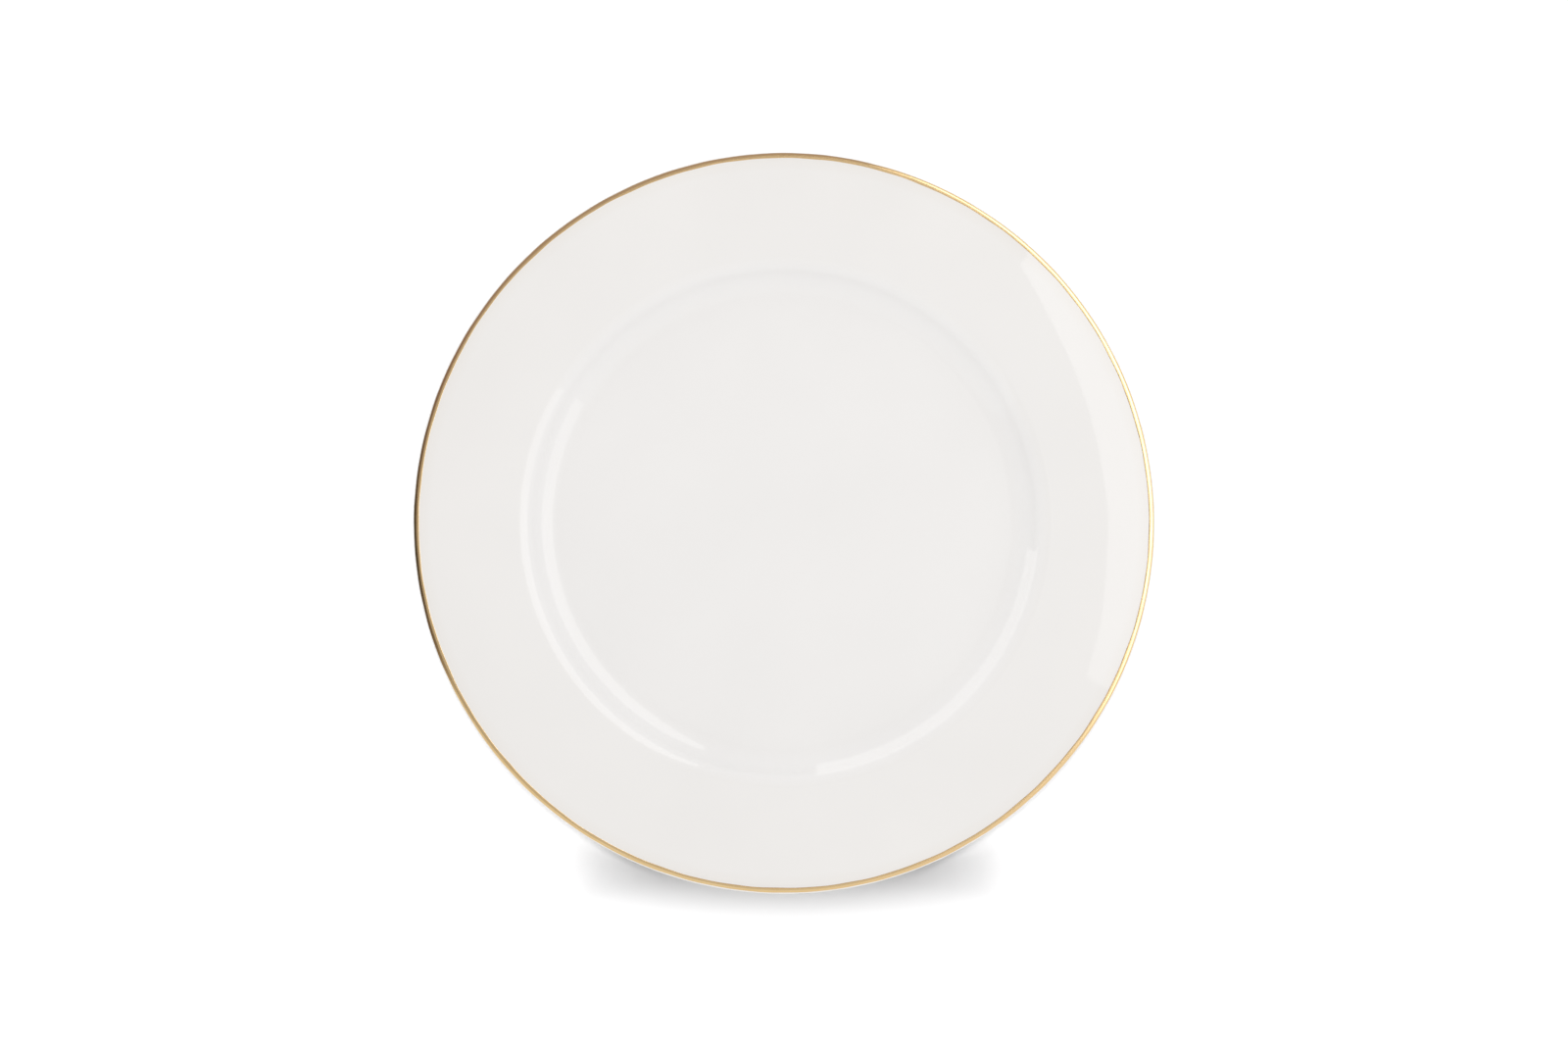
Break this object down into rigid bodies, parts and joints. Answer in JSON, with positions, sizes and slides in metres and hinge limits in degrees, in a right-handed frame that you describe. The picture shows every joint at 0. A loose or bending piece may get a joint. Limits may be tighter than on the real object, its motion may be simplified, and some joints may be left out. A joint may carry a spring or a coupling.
{
  "type": "dinner plate",
  "caption": "Round white china dinner plate: flat well, soft cove, broad, nearly flat rim with a thin gold line along its lip, and a foot ring underneath.",
  "frame": {"origin": "centre of the foot ring's seat, on the surface that the plate stands on", "axes": "+Z is the axis the plate was turned on and points up out of its face; +Y points to the top of the plate as the picture shows it; the plate is round, so X and Y are otherwise free"},
  "size_m": [0.2702, 0.2702, 0.0169],
  "materials": {
    "bare_china": "fired, unglazed, fine matte; it shows only on the seat of the foot ring",
    "white_glaze": "glossy, slightly warm white",
    "polished_gold": "burnished gold, bright, with a faint brush-laid unevenness"
  },
  "bodies": {
    "root": {"china_body": "bare_china", "face_glaze": "white_glaze", "back_glaze": "white_glaze", "foot_well_glaze": "white_glaze", "gold_rim_line": "polished_gold"}
  },
  "joints": []
}
